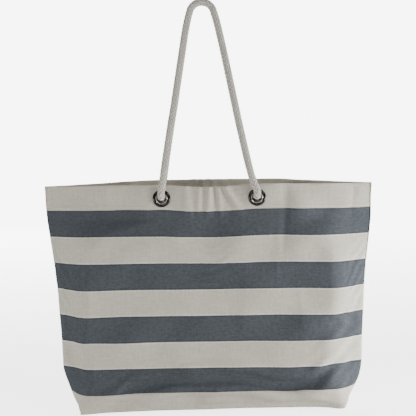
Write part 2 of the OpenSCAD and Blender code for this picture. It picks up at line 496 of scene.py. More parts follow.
def braid(name, path, material, core, strands=8, pitch=0.054, rope_r=0.0064, step=0.0018):
    """A braid over a core: strands wind both ways, and each passes over two and under two."""
    line, run = even_path(path, step)
    across, up = carried_frames(line)
    points = []
    faces = []
    uv = []
    thick = 0.0014
    wide = 0.84 * math.pi * rope_r / strands * math.cos(math.atan(2 * math.pi * rope_r / pitch))
    ring = circle(6)
    for way in (1, -1):
        for k in range(strands):
            angle = way * 2 * math.pi * run / pitch + 2 * math.pi * k / strands
            crossing = way * np.cos(way * strands * math.pi * run / pitch + math.pi * (k + 0.25))
            lift = rope_r - thick - 0.0008 + 0.0008 * crossing
            out = across * np.cos(angle)[:, None] + up * np.sin(angle)[:, None]
            middle = line + out * lift[:, None]
            side = np.cross(unit(np.gradient(middle, axis=0)), out)
            first = len(points)
            for i in range(len(line)):
                for c, s in ring:
                    points.append(middle[i] + side[i] * (wide * c) + out[i] * (thick * s))
                    uv.append((wide * c + STRAND_STEP * (k + 10 * way), run[i]))
            faces += tube_faces(len(line), len(ring), first)
    slots = [0] * len(faces)
    # The core, in the second material. On the ropes it is near black, painted shade that shows in the gaps
    # between the strands.
    first = len(points)
    sides = 12
    for i in range(len(line)):
        for a in np.linspace(0, 2 * math.pi, sides, endpoint=False):
            points.append(line[i] + (across[i] * math.cos(a) + up[i] * math.sin(a)) * (rope_r - 0.0027))
            uv.append((a * rope_r, run[i]))
    faces += tube_faces(len(line), sides, first)
    slots += [1] * (len(faces) - len(slots))
    return mesh_piece(name, points, faces, [material, core], uv, slots), line, run[-1]


def make_rope(name, face):
    """A handle's rope, in place of the CAD rope."""
    piece, line, length = braid(f"{name}_braided_rope", rope_path(face), rope_strands, rope_core)
    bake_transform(piece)
    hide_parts(f"{name}_rope")


place_camera()
for face_name, face in FACES.items():
    make_rope(face_name, face)


# ---------------------------------------------------------------------------
# The cloth, relaxed from its flat pattern
# ---------------------------------------------------------------------------

GUSSET_CELLS = 12
FACE_CELLS = 92
HEIGHT_CELLS = 80
RELAX_STEPS = 110
RELAX_PASSES = 7
SETTLING_FALL = 0.00002
FLOOR_GAP = 0.0006

# How far out each side of the bag comes at these heights. A scratch script measured these widths
# on the real outline: they are data, and weren't chosen by hand.
SIDE_Z = (
    0, 0.012, 0.025, 0.040, 0.055, 0.070, 0.085, 0.110, 0.150, 0.200, 0.250, 0.290, 0.330, 0.360, RIM_Z,
)
LEFT_X = (
    0.2260, 0.2375, 0.2434, 0.2486, 0.2532, 0.2572, 0.2574, 0.2580, 0.2600, 0.2639, 0.2680, 0.2727,
    0.2773, 0.2790, 0.2794,
)
RIGHT_X = (
    0.2250, 0.2380, 0.2468, 0.2532, 0.2577, 0.2600, 0.2606, 0.2611, 0.2620, 0.2652, 0.2680, 0.2722,
    0.2756, 0.2756, 0.2766,
)
# How far the front and back stand from the middle, and how deep the side seams sink between the
# gussets, at these heights.
DEPTH_Z = (0, 0.030, 0.077, 0.140, 0.200, 0.270, 0.330, RIM_Z)
DEPTH_Y = (BASE_HALF_D, 0.0555, 0.050, 0.0445, 0.0405, 0.037, MOUTH_HALF_D, MOUTH_HALF_D)
SINK_X = (0, 0.002, 0.004, 0.003, 0.001, 0, 0, 0)
SINK_Y = (0, 0.003, 0.005, 0.004, 0.001, 0, 0, 0)


def from_eyelet(u, v):
    """How far a panel's flat point (u, v) is from the middle of the nearer eyelet."""
    return np.hypot(np.abs(u) - EYELET_X, v - (RIM_Z - EYELET_Z))


def pattern():
    """The panel's flat coordinates: columns across, then rows down from the rim and under the base."""
    gusset = np.linspace(0, BASE_HALF_D, GUSSET_CELLS + 1)
    face = np.linspace(-BASE_HALF_W, BASE_HALF_W, FACE_CELLS + 1)
    u = np.concatenate([gusset - FLAT_HALF_W, face[1:-1], FLAT_HALF_W - gusset[::-1]])
    v = np.concatenate([np.linspace(0, FLAT_H, HEIGHT_CELLS + 1), FLAT_H + gusset[1:]])
    return u, v


def sewn_numbers(rows, cols):
    """One number for each point of both panels. Points that the seams join share a number."""
    base_row = HEIGHT_CELLS
    left, right = GUSSET_CELLS, cols - 1 - GUSSET_CELLS
    number = -np.ones((2, rows, cols), int)
    count = 0
    for panel in (0, 1):
        for r in range(rows):
            for c in range(cols):
                below = r - base_row
                if below <= 0:
                    if panel == 1 and c in (0, cols - 1):
                        number[1, r, c] = number[0, r, c]
                        continue
                elif c < left or c > right:
                    continue
                elif c == left:
                    number[panel, r, c] = number[panel, base_row, left - below]
                    continue
                elif c == right:
                    number[panel, r, c] = number[panel, base_row, right + below]
                    continue
                elif panel == 1 and r == rows - 1:
                    number[1, r, c] = number[0, r, c]
                    continue
                number[panel, r, c] = count
                count += 1
    return number, count


def bag_section(u, z):
    """Where the point u along a panel's width lies in plan at height z: across, and out."""
    a = np.abs(u)
    w = np.where(u < 0, np.interp(z, SIDE_Z, LEFT_X), np.interp(z, SIDE_Z, RIGHT_X))
    d = np.interp(z, DEPTH_Z, DEPTH_Y)
    sink_x = np.interp(z, DEPTH_Z, SINK_X)
    sink_y = np.interp(z, DEPTH_Z, SINK_Y)
    lip = FLAT_HALF_W - np.hypot(sink_x, sink_y)
    fold = np.clip((lip**2 - w**2 - (d - sink_y)**2) / (2 * (lip - w)), 0.1, BASE_HALF_W)
    along = np.clip((a - fold) / (lip - fold), 0, 1)
    inward = np.clip((a - lip) / np.maximum(FLAT_HALF_W - lip, 1e-6), 0, 1)
    x = np.where(a < fold, a, fold + (w - fold) * along) - sink_x * inward
    y = d + (sink_y - d) * along - sink_y * inward
    return np.sign(u) * x, y


def soft_waves(u, v, face):
    """Broad, shallow unevenness of cloth that has been folded and carried."""
    rng = np.random.default_rng(21 + face)
    total = 0
    for _ in range(14):
        turn = rng.uniform(0, math.pi)
        pitch = rng.uniform(0.05, 0.14)
        shift = rng.uniform(0, 2 * math.pi)
        total = total + np.sin((u * math.cos(turn) + v * math.sin(turn)) * 2 * math.pi / pitch + shift)
    return total / 2.6


def first_shape(face, u, v):
    """Where the flat cloth's point (u, v) lies before it is relaxed."""
    under = np.clip(v - FLAT_H, 0, None)
    z = np.clip(RIM_Z - v, 0, None)
    x = 0
    y = 0
    spread = 0.012 * np.clip((FLAT_HALF_W - np.abs(u)) / 0.02, 0, 1) * smooth_step(z / 0.03)
    for share in (-1, -0.5, 0, 0.5, 1):
        part_x, part_y = bag_section(u + share * spread, z)
        x = x + part_x / 5
        y = y + part_y / 5
    y = face * (y - under)
    droop = np.where(u < 0, 0.0035, 0.0045) * smooth_step((np.abs(u) - 0.11) / 0.16)
    droop = droop * smooth_step(1 - v / 0.5)
    sag = 0.0045 * np.clip(1 - (u / EYELET_X)**2, 0, 1)**1.5 * smooth_step(1 - v / 0.2)
    arch = 0.0085 * np.clip(1 - (u / BASE_HALF_W)**4, 0, 1) + 0.0048 * smooth_step(u / 0.2 + 0.1)
    lift = arch * smooth_step((v - 0.31) / 0.075) * np.clip(1 - under / BASE_HALF_D, 0, 1)
    if face == BACK:
        lift = 0.3 * lift
        sag = -0.15 * sag
    rise = 0.0050 * smooth_step((u - 0.16) / 0.07) * smooth_step(1 - np.abs(z - 0.035) / 0.10)
    dip = 0.0055 * np.exp(-((u - 0.125) / 0.05)**2) + 0.0030 * np.exp(-((u + 0.14) / 0.06)**2)
    low = smooth_step(z / 0.03)
    z = z - droop - sag + lift + low * (rise - dip * smooth_step(1 - (z - 0.03) / 0.09))
    y = y + face * 0.0011 * soft_waves(u, v, face) * np.clip((FLAT_HALF_W - np.abs(u)) / 0.06, 0, 1)
    return np.stack([x, y, z], axis=-1)


def links(number, uu, vv, down, across, strength, skip_row=None):
    """Pairs of points of both panels that lie down rows and across columns apart in the pattern."""
    rows, cols = uu.shape
    r, c = np.meshgrid(np.arange(rows), np.arange(cols), indexing="ij")
    to_r, to_c = r + down, c + across
    fits = (to_r < rows) & (to_c < cols) & (to_c >= 0)
    if skip_row is not None:
        fits &= ~((r < skip_row) & (to_r > skip_row))
    r, c, to_r, to_c = r[fits], c[fits], to_r[fits], to_c[fits]
    spare = 1 + 0.035 * np.exp(-((uu[r, c] - 0.015) / 0.04)**2) * smooth_step(1 - vv[r, c] / 0.2)
    rest = np.hypot((uu[to_r, to_c] - uu[r, c]) * spare, vv[to_r, to_c] - vv[r, c])
    above_base = (r <= HEIGHT_CELLS) & (to_r <= HEIGHT_CELLS)
    inner = (np.minimum(c, to_c) >= GUSSET_CELLS) & (np.maximum(c, to_c) < cols - GUSSET_CELLS)
    found = []
    for panel in (0, 1):
        a, b = number[panel, r, c], number[panel, to_r, to_c]
        real = (a >= 0) & (b >= 0) & (a != b) & (above_base | inner)
        found.append((a[real], b[real], rest[real], np.full(real.sum(), strength)))
    return found


def relax_cloth():
    """Both panels' points after the sewn bag has settled: the cloth keeps its flat lengths, resists
    bending, hangs from the eyelets and stands on the floor."""
    u, v = pattern()
    vv, uu = np.meshgrid(v, u, indexing="ij")
    number, count = sewn_numbers(len(v), len(u))
    goal = np.zeros((count, 3))
    hold = np.zeros(count)
    for panel, face in enumerate((FRONT, BACK)):
        real = number[panel] >= 0
        goal[number[panel][real]] = first_shape(face, uu, vv)[real]
        pull = 0.02 + 0.12 * smooth_step(1 - vv / 0.14) + 0.10 * smooth_step(1 - np.abs(vv - FLAT_H) / 0.02)
        pull = np.maximum(pull, 0.15 * smooth_step(1 - (FLAT_HALF_W - np.abs(uu)) / 0.012))
        pull = np.where(from_eyelet(uu, vv) < 0.018, 1.0, pull)
        hold[number[panel][real]] = np.maximum(hold[number[panel][real]], pull[real])
    found = []
    for down, across in ((0, 1), (1, 0), (1, 1), (1, -1)):
        found += links(number, uu, vv, down, across, 0.5 if down and across else 1.0)
    for reach, strength in ((2, 0.30), (4, 0.12)):
        found += links(number, uu, vv, 0, reach, strength)
        found += links(number, uu, vv, reach, 0, strength, skip_row=HEIGHT_CELLS)
    a, b, rest, strength = (np.concatenate(part) for part in zip(*found))
    share = np.bincount(a, minlength=count) + np.bincount(b, minlength=count)
    rng = np.random.default_rng(7)
    place = goal + rng.normal(0, 0.0006, goal.shape)
    before = place.copy()
    free = (1 - (hold >= 1.0))[:, None]
    fall = np.array([0, 0, -SETTLING_FALL])
    for _ in range(RELAX_STEPS):
        moved = place + (0.9 * (place - before) + fall) * free
        before = place
        place = moved + (goal - moved) * hold[:, None]
        for _ in range(RELAX_PASSES):
            apart = place[b] - place[a]
            length = np.linalg.norm(apart, axis=1)
            push = apart * (strength * (1 - rest / length) * 0.5)[:, None]
            total = np.column_stack([
                np.bincount(a, push[:, k], count) - np.bincount(b, push[:, k], count) for k in range(3)
            ])
            place = place + total * free * (3.2 / share)[:, None]
        place[:, 2] = np.maximum(place[:, 2], FLOOR_GAP)
    grids = []
    for panel in (0, 1):
        grid = place[number[panel]]
        grid[number[panel] < 0] = np.nan
        grids.append(iron(grid, uu, vv))
    for side, table in ((-1, LEFT_X), (1, RIGHT_X)):
        for _ in range(2):
            fit_outline(grids, side, np.array(table))
    return u, v, grids


def iron(grid, uu, vv):
    """The same cloth with its smallest buckles pressed out, most of all at the lower corners. The
    seams, the base and the cloth that the eyelets grip stay where they are. Every second pass
    swells the cloth again, so that it doesn't shrink."""
    corner = smooth_step((np.abs(uu) - 0.15) / 0.04) * smooth_step((vv - 0.19) / 0.08)
    share = (0.12 + 0.88 * corner) * smooth_step((from_eyelet(uu, vv) - 0.02) / 0.02)
    share = share[:HEIGHT_CELLS, 1:-1, None]
    side = grid[:HEIGHT_CELLS + 1]
    for _ in range(30):
        for strength in (0.33, -0.34):
            across = (side[:, :-2] + side[:, 2:]) / 2 - side[:, 1:-1]
            down = (side[:-2, 1:-1] + side[2:, 1:-1]) / 2 - side[1:-1, 1:-1]
            side[:-1, 1:-1] += strength * share * across[:-1]
            side[1:-1, 1:-1] += 0.5 * strength * share[1:] * down
    return grid


def fit_outline(grids, side, table):
    """Eases the cloth sideways until the bag is as wide at each height as its table says."""
    reach = np.zeros(len(SIDE_Z))
    for grid in grids:
        for column in range(grid.shape[1]):
            line = grid[HEIGHT_CELLS::-1, column]
            reach = np.maximum(reach, np.interp(SIDE_Z, line[:, 2], side * line[:, 0]))
    for grid in grids:
        x, z = grid[..., 0], grid[..., 2]
        share = smooth_step((side * x / np.interp(z, SIDE_Z, reach) - 0.55) / 0.45)
        grid[..., 0] = x + side * share * np.interp(z, SIDE_Z, table - reach)


def cubic(grid, rows, cols):
    """The grid's value at fractional rows and columns, on a smooth surface through its points."""
    def weights(t):
        return (
            -0.5 * t + t**2 - 0.5 * t**3, 1 - 2.5 * t**2 + 1.5 * t**3,
            0.5 * t + 2 * t**2 - 1.5 * t**3, -0.5 * t**2 + 0.5 * t**3,
        )

    high_r, high_c = grid.shape[0] - 1, grid.shape[1] - 1
    padded = np.pad(grid, ((1, 1), (1, 1), (0, 0)), mode="reflect", reflect_type="odd")
    r0 = np.clip(np.floor(rows).astype(int), 0, high_r - 1)
    c0 = np.clip(np.floor(cols).astype(int), 0, high_c - 1)
    wr, wc = weights(rows - r0), weights(cols - c0)
    out = 0
    for i in range(4):
        for j in range(4):
            out = out + (wr[i] * wc[j])[..., None] * padded[r0 + i, c0 + j]
    return out


# Soft folds that hang from the rim: place across, lean, width, how far out, how far down.
RIM_FOLDS = (
    (-0.0560, 0.02, 0.0080, -0.0010, 0.075), (-0.0390, 0.00, 0.0062, 0.0021, 0.062),
    (-0.0270, 0.03, 0.0052, -0.0012, 0.060), (-0.0155, -0.05, 0.0058, 0.0021, 0.060),
    (-0.0070, -0.10, 0.0034, -0.0020, 0.060), (0.0005, -0.06, 0.0050, 0.0038, 0.062),
    (0.0095, 0.08, 0.0034, -0.0026, 0.060), (0.0155, 0.05, 0.0036, 0.0032, 0.060),
    (0.0195, 0.45, 0.0034, -0.0026, 0.056), (0.0255, 0.62, 0.0048, 0.0040, 0.058),
    (0.0380, 0.50, 0.0070, -0.0012, 0.060), (0.0000, 0.00, 0.0110, -0.0010, 0.300),
    (0.0300, 0.25, 0.0110, 0.0011, 0.220), (-0.0420, -0.06, 0.0120, 0.0009, 0.240),
    (0.126, -0.05, 0.0110, -0.0018, 0.150), (0.214, 0.00, 0.0130, 0.0009, 0.120),
    (0.246, 0.00, 0.0080, -0.0010, 0.090), (-0.172, 0.00, 0.0080, 0.0015, 0.100),
    (-0.108, 0.00, 0.0140, 0.0013, 0.140), (0.176, 0.04, 0.0140, -0.0013, 0.140),
)

# Creases in the cloth: from, to, width, height outwards. The bag was folded flat and packed.
CREASES = (
    (-0.171, 0.004, -0.175, 0.046, 0.0028, 0.0007), (-0.252, 0.006, -0.246, 0.085, 0.0070, 0.0011),
    (-0.034, 0.010, -0.028, 0.080, 0.0050, 0.0010), (0.131, 0.004, 0.124, 0.110, 0.0060, -0.0012),
    (0.118, 0.006, 0.112, 0.150, 0.0060, 0.0008), (0.250, 0.006, 0.243, 0.060, 0.0050, -0.0010),
    (-0.204, 0.135, -0.206, 0.225, 0.0060, 0.0010), (-0.216, 0.250, -0.212, 0.330, 0.0070, 0.0009),
    (0.150, 0.360, 0.222, 0.386, 0.0065, 0.0028), (0.120, 0.370, 0.200, 0.394, 0.0080, -0.0014),
    (-0.016, 0.376, 0.012, 0.352, 0.0045, 0.0012), (0.004, 0.380, 0.034, 0.362, 0.0050, -0.0010),
    (-0.190, 0.370, -0.150, 0.350, 0.0060, 0.0010), (0.060, 0.130, 0.054, 0.260, 0.0080, 0.0006),
    (0.150, 0.170, 0.158, 0.250, 0.0070, 0.0007), (-0.120, 0.060, -0.126, 0.160, 0.0090, -0.0007),
)


def crease_height(u, v, face):
    """How far folds and creases lift the cloth. The back's are the front's, seen from behind."""
    u = u * -face
    total = np.zeros(np.broadcast(u, v).shape)
    for middle, lean, wide, high, down in RIM_FOLDS:
        share = smooth_step((down - v) / 0.035) * (1 if face == FRONT else 0.35)
        total = total + high * share * np.exp(-((u - middle - lean * v) / (wide * (1 + v / 0.12)))**2)
    seam_line = HEM_H - 0.0022
    total = total + 0.0005 * np.exp(-((v - seam_line + 0.0024) / 0.0022)**2)
    total = total - 0.0005 * np.exp(-((v - seam_line) / 0.0013)**2)
    total = total + 0.0004 * np.exp(-((v - seam_line - 0.0020) / 0.0012)**2)
    for u0, v0, u1, v1, width, height in CREASES:
        long_u, long_v = u1 - u0, v1 - v0
        length = math.hypot(long_u, long_v)
        along = ((u - u0) * long_u + (v - v0) * long_v) / length**2
        aside = ((u - u0) * long_v - (v - v0) * long_u) / length
        ends = smooth_step(along / 0.25 + 0.5) * smooth_step((1 - along) / 0.25 + 0.5)
        total = total + height * ends / (1 + (aside / width)**2)**1.5
    return total


class Cloth:
    """One relaxed panel, which answers where a point of its flat pattern lies."""

    def __init__(self, u, v, grid, face):
        inner = slice(GUSSET_CELLS, len(u) - GUSSET_CELLS)
        self.face = face
        self.side = (grid[:HEIGHT_CELLS + 1], u, v[:HEIGHT_CELLS + 1])
        self.base = (grid[HEIGHT_CELLS:, inner], u[inner], v[HEIGHT_CELLS:])

    def raw(self, u, v, base=False):
        """Where the flat point (u, v) lies, without folds and creases."""
        grid, grid_u, grid_v = self.base if base else self.side
        cols = np.interp(u, grid_u, np.arange(len(grid_u)))
        rows = np.interp(v, grid_v, np.arange(len(grid_v)))
        return cubic(grid, rows, cols)

    def normal(self, u, v, base=False):
        """The direction out of the bag."""
        e = 0.002
        low_u, high_u = (-BASE_HALF_W, BASE_HALF_W) if base else (-FLAT_HALF_W, FLAT_HALF_W)
        low_v, high_v = (FLAT_H, FLAT_H + BASE_HALF_D) if base else (0, FLAT_H)
        du = self.raw(np.minimum(u + e, high_u), v, base) - self.raw(np.maximum(u - e, low_u), v, base)
        dv = self.raw(u, np.minimum(v + e, high_v), base) - self.raw(u, np.maximum(v - e, low_v), base)
        return unit(np.cross(dv, du) * -self.face)

    def at(self, u, v, off=0.0, base=False):
        """Where the flat point (u, v) lies, moved outwards by off."""
        u, v = np.broadcast_arrays(np.asarray(u, float), np.asarray(v, float))
        clear = smooth_step((from_eyelet(u, v) - 0.016) / 0.01)
        seam = smooth_step((FLAT_HALF_W - np.abs(u)) / 0.012)
        off = off + crease_height(u, v, self.face) * clear * seam
        return self.raw(u, v, base) + self.normal(u, v, base) * off[..., None]


flat_u, flat_v, relaxed = relax_cloth()
cloths = {
    "front": Cloth(flat_u, flat_v, relaxed[0], FRONT),
    "back": Cloth(flat_u, flat_v, relaxed[1], BACK),
}


def fine(low, high, step):
    """Even places from low to high, about a step apart."""
    return np.linspace(low, high, max(1, round(abs(high - low) / step)) + 1)


def columns(edge, step):
    """Places across a panel, closer together where the rim is gathered."""
    side = fine(GATHER_HALF_W, FLAT_HALF_W - edge, step)[1:]
    return np.concatenate([-side[::-1], fine(-GATHER_HALF_W, GATHER_HALF_W, 0.0013), side])


def strip_rows(cloth, across, rows):
    """A grid's points and flat coordinates, from rows of (v, height off the cloth)."""
    points = [cloth.at(across, v, off) for v, off in rows]
    uv = [np.column_stack([across, np.full(len(across), v)]) for v, _ in rows]
    return np.vstack(points), np.vstack(uv)


def cut_eyelets(faces, uv, shift=0):
    """The faces that are clear of the eyelets' holes. v is uv's second number and the shift."""
    middles = np.array([uv[list(face)].mean(0) for face in faces])
    away = from_eyelet(middles[:, 0], middles[:, 1] + shift)
    return [face for face, r in zip(faces, away) if r > CUT_R]


def make_panel(name):
    """One canvas panel: the rim's fold, the face with half of each side, and half of the base."""
    cloth = cloths[name]
    across = columns(0.004, 0.0026)
    seam = np.array([0, 0.0004, 0.001, 0.0018, 0.0028])
    across = np.concatenate([seam - FLAT_HALF_W, across, FLAT_HALF_W - seam[::-1]])
    pinch = -0.0012 * np.exp(-((FLAT_HALF_W - np.abs(across)) / 0.0011)**2)
    down = np.concatenate([
        fine(0.0012, HEM_H - 0.008, 0.0024), fine(HEM_H - 0.0072, HEM_H + 0.003, 0.0008),
        fine(HEM_H + 0.005, FLAT_H, 0.0026),
    ])
    fold_r = 0.0007
    fold = [(0.008, -2 * fold_r), (0.004, -2 * fold_r), (0.0012, -2 * fold_r)]
    fold += [
        (fold_r * (1 - math.sin(a)), -fold_r * (1 + math.cos(a)))
        for a in np.linspace(0.25, math.pi - 0.25, 5)
    ]
    rows = [(v, off + pinch) for v, off in fold + [(v, 0.0) for v in down]]
    points, uv = strip_rows(cloth, across, rows)
    faces = grid_faces(len(rows), len(across))
    base_across = fine(-BASE_HALF_W, BASE_HALF_W, 0.0035)
    base_down = fine(FLAT_H, FLAT_H + BASE_HALF_D, 0.0035)
    bu, bv = np.meshgrid(base_across, base_down)
    seam_off = -0.001 * np.exp(-((bv - bv.max()) / 0.0012)**2)
    base_points = cloth.at(bu, bv, seam_off, base=True).reshape(-1, 3)
    faces += grid_faces(len(base_down), len(base_across), first=len(points))
    points = np.vstack([points, base_points])
    uv = np.vstack([uv, np.column_stack([bu.ravel(), bv.ravel()])])
    faces = cut_eyelets(faces, uv)
    if cloth.face == FRONT:
        faces = turned(faces)
    piece = mesh_piece(f"{name}_canvas", points, faces, [canvas], uv)
    solid = piece.modifiers.new("thickness", "SOLIDIFY")
    solid.thickness = CLOTH_T
    solid.offset = -1
    attach(piece, "canvas", f"{name}_panel")


FACING_SHIFT = 0.5      # keeps the facing's weave apart from the panel's in flat coordinates


def make_facing(name):
    """The hem's inner layer: folded at its lower edge, and sewn down inside the rim."""
    cloth = cloths[name]
    across = columns(0.0012, 0.0030)
    outer = -CLOTH_T - 0.00035
    inner = -HEM_T + 0.00005
    middle = (outer + inner) / 2
    half = (outer - inner) / 2
    rows = [(0.0011, outer - 0.0001), (0.0010, middle), (0.0011, inner + 0.0001)]
    rows += [(v, inner) for v in fine(0.003, HEM_H - 0.001, 0.0026)]
    rows += [
        (HEM_H - 0.0008 + half * math.sin(a), middle - half * math.cos(a))
        for a in np.linspace(0.4, math.pi - 0.4, 4)
    ]
    rows += [(v, outer) for v in fine(HEM_H - 0.0012, 0.003, 0.0052)]
    waves = 0.00018 * np.sin(across * 260) + 0.00012 * np.sin(across * 611 + 1)
    taper = smooth_step((FLAT_HALF_W - np.abs(across)) / 0.006)
    points = []
    uv = []
    for v, off in rows:
        sewn = smooth_step((v - 0.03) / 0.01)
        points.append(cloth.at(across, v + waves * sewn, off * (0.35 + 0.65 * taper)))
        uv.append(np.column_stack([across, np.full(len(across), v - FACING_SHIFT)]))
    points = np.vstack(points)
    uv = np.vstack(uv)
    faces = grid_faces(len(rows), len(across), closed_rows=True)
    edge = len(across) - 1
    faces.append(tuple(r * len(across) for r in reversed(range(len(rows)))))
    faces.append(tuple(r * len(across) + edge for r in range(len(rows))))
    faces = cut_eyelets(faces, uv, FACING_SHIFT)
    if cloth.face == BACK:
        faces = turned(faces)
    piece = mesh_piece(f"{name}_facing", points, faces, [inside_canvas], uv)
    attach(piece, "canvas", f"{name}_hem_facing")


def stitch_mesh(runs, length=0.0028, thick=0.00028):
    """Short raised stitches. Each run is a list of (place, direction, outward) on the cloth."""
    points = []
    faces = []
    uv = []
    ring = circle(6)
    shape = [(-0.5, -1.1, 0.55), (-0.3, 0.1, 1), (0, 0.55, 1.08), (0.3, 0.1, 1), (0.5, -1.1, 0.55)]
    for place, direction, outward in runs:
        side = np.cross(direction, outward)
        first = len(points)
        for along, up, size in shape:
            middle = place + direction * (along * length) + outward * (up * thick)
            for c, k in ring:
                points.append(middle + side * (c * thick * size * 1.15) + outward * (k * thick * size))
                uv.append((c * thick, along * length))
        faces += grid_faces(len(shape), len(ring), closed_cols=True, first=first)
    return points, faces, uv


def cloth_stitches(cloth, u, v, off):
    """Where stitches lie along the flat points (u, v), on the outer or the inner side."""
    points = cloth.at(u, v, off)
    direction = unit(np.gradient(points, axis=0))
    outward = cloth.normal(u, v) * (1 if off >= 0 else -1)
    return list(zip(points, direction, outward))


def make_hem_stitches(name):
    """Two rows of stitches through the hem: near the rim, and along the facing's lower edge."""
    cloth = cloths[name]
    rng = np.random.default_rng(11)
    runs = []
    for row_v in (0.0045, HEM_H - 0.0022):
        u = np.arange(-FLAT_HALF_W + 0.006, FLAT_HALF_W - 0.006, 0.0036)
        u = u[from_eyelet(u, row_v) > EYELET_R + 0.001]
        v = row_v + rng.normal(0, 0.0001, len(u))
        for off in (0.0001, -HEM_T):
            runs += cloth_stitches(cloth, u, v, off)
    points, faces, uv = stitch_mesh(runs)
    attach(mesh_piece(f"{name}_hem_stitches", points, faces, [thread], uv), "canvas")


def lathe(name, profile, x, face, materials, highlight_band=(0, 0), segments=96):
    """A ring about the eyelet's axis. The profile gives radius, and distance out of the bag.
    The profile's stretch between the two numbers in the sixth argument has the second material. On the
    eyelets that is a lighter nickel, a painted highlight."""
    points = [
        (x + radius * c, face * (MOUTH_HALF_D + out), EYELET_Z + radius * s)
        for radius, out in profile for c, s in circle(segments)
    ]
    faces = grid_faces(len(profile), segments, closed_rows=True, closed_cols=True)
    if face == BACK:
        faces = turned(faces)
    slots = [int(highlight_band[0] <= i // segments < highlight_band[1]) for i in range(len(faces))]
    return mesh_piece(name, points, faces, materials, slots=slots)


def arc(middle_r, middle_out, radius_r, radius_out, start, end, count):
    """Points of an ellipse's arc in a lathe profile, angles in degrees from straight outwards."""
    return [
        (middle_r + radius_r * math.sin(a), middle_out + radius_out * math.cos(a))
        for a in np.radians(np.linspace(start, end, count))
    ]


def make_eyelet(face_name, side_name):
    """A pressed eyelet: a crowned ring in front, and a barrel that curls over the washer behind."""
    face = FACES[face_name]
    x = SIDES[side_name] * EYELET_X
    crown_r = (EYELET_R - EYELET_HOLE_R) / 2
    middle = (EYELET_R + EYELET_HOLE_R) / 2
    back = -HEM_T - WASHER_T
    profile = arc(middle, 0.0002, crown_r, CROWN - 0.0002, 88, -80, 22)
    profile += [(EYELET_HOLE_R, -0.001), (EYELET_HOLE_R, back)]
    profile += arc(EYELET_HOLE_R + 0.0012, back, 0.0012, -0.0009, -80, 80, 9)
    profile += [(EYELET_HOLE_R + 0.0014, back - 0.00005), (EYELET_HOLE_R + 0.0007, back + 0.0003)]
    profile += [(EYELET_HOLE_R + 0.0007, -0.001)]
    profile += arc(middle, 0.0000, crown_r - 0.0007, CROWN - 0.0009, -80, 80, 14)
    profile += [(EYELET_R - 0.0004, -0.0001)]
    node = f"{face_name}_{side_name}_eyelet"
    # The crown's inner slope gets the lighter nickel: a painted highlight round the hole.
    attach(lathe(f"{node}_ring", profile, x, face, [metal, highlight_metal], (15, 22)), "eyelet", node)


def make_washer(face_name, side_name):
    """The flat ring that the eyelet's barrel is rolled over, with a raised rim."""
    node = f"{face_name}_{side_name}_washer"
    low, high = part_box(node)
    outer = (high.x - low.x) / 2
    inner = EYELET_HOLE_R + 0.0009
    outside = -HEM_T
    inside = -HEM_T - WASHER_T
    profile = [(inner, outside), (inner + 0.0002, inside + 0.0003), (inner + 0.0012, inside + 0.0001)]
    profile += arc(outer - 0.0016, inside + 0.0005, 0.0016, -0.0005, -60, 90, 9)
    profile += [(outer, outside - 0.0002), (outer - 0.0003, outside)]
    x = SIDES[side_name] * EYELET_X
    attach(lathe(f"{node}_ring", profile, x, FACES[face_name], [metal]), "eyelet", node)


def knot_path(face, x, bottom):
    """The rope's end inside the bag: from the eyelet, round an overhand knot, and hanging down."""
    size = 0.0042
    deep = 0.0062
    middle_y = face * 0.0162
    path = [
        (x, face * (MOUTH_HALF_D - 0.0055), SWING_Z), (x, face * 0.0265, SWING_Z),
        (x + 0.3 * size, face * 0.0235, SWING_Z - 0.2 * size),
    ]
    for t in np.linspace(4.0 / 3 * math.pi - 0.05, 3 * math.pi - 0.62, 19):
        across = math.sin(t) + 2 * math.sin(2 * t)
        up = math.cos(t) - 2 * math.cos(2 * t)
        path.append((
            x + size * across, middle_y - face * deep * math.sin(3 * t), SWING_Z + size * up,
        ))
    last_x, last_y, last_z = path[-1]
    drop = last_z - bottom
    path.append((last_x + 0.0012, last_y + face * 0.0008, last_z - 0.3 * drop))
    path.append((last_x + 0.0020, last_y + face * 0.0016, last_z - 0.65 * drop))
    path.append((last_x + 0.0022, last_y + face * 0.0018, bottom))
    return path


def wound_thread(path, radius, turns, thick=0.0005):
    """A thread wound tightly round a straight path's middle line."""
    start, end = np.asarray(path[0]), np.asarray(path[-1])
    line = np.linspace(start, end, turns * 18 + 1)
    across, up = carried_frames(line)
    angle = np.linspace(0, 2 * math.pi * turns, len(line))
    coil = line + radius * (across * np.cos(angle)[:, None] + up * np.sin(angle)[:, None])
    side, over = carried_frames(coil)
    points = []
    uv = []
    for i in range(len(coil)):
        for a in np.linspace(0, 2 * math.pi, 6, endpoint=False):
            points.append(coil[i] + thick * (side[i] * math.cos(a) + over[i] * math.sin(a)))
            uv.append((a * thick, angle[i] * radius))
    return points, grid_faces(len(coil), 6, closed_cols=True), uv


def frayed_end(place, direction, radius, rng):
    """The loose yarns below the whipping at a cut rope's end."""
    points = []
    faces = []
    uv = []
    side = np.cross(direction, (1, 0, 0))
    side /= np.linalg.norm(side)
    other = np.cross(direction, side)
    for _ in range(70):
        turn = rng.uniform(0, 2 * math.pi)
        out = radius * math.sqrt(rng.uniform(0, 1))
        long = rng.uniform(0.0045, 0.0065)
        flare = rng.uniform(0.05, 0.35)
        outward = side * math.cos(turn) + other * math.sin(turn)
        first = len(points)
        for step in range(4):
            t = step / 3
            middle = place + outward * out * (1 + flare * t * t) + direction * long * t
            for a in (0, 2 * math.pi / 3, 4 * math.pi / 3):
                thick = 0.00042 * (1 - 0.5 * t)
                points.append(middle + thick * (side * math.cos(a) + other * math.sin(a)))
                uv.append((a * thick, long * t))
        faces += grid_faces(4, 3, closed_cols=True, first=first)
    return points, faces, uv


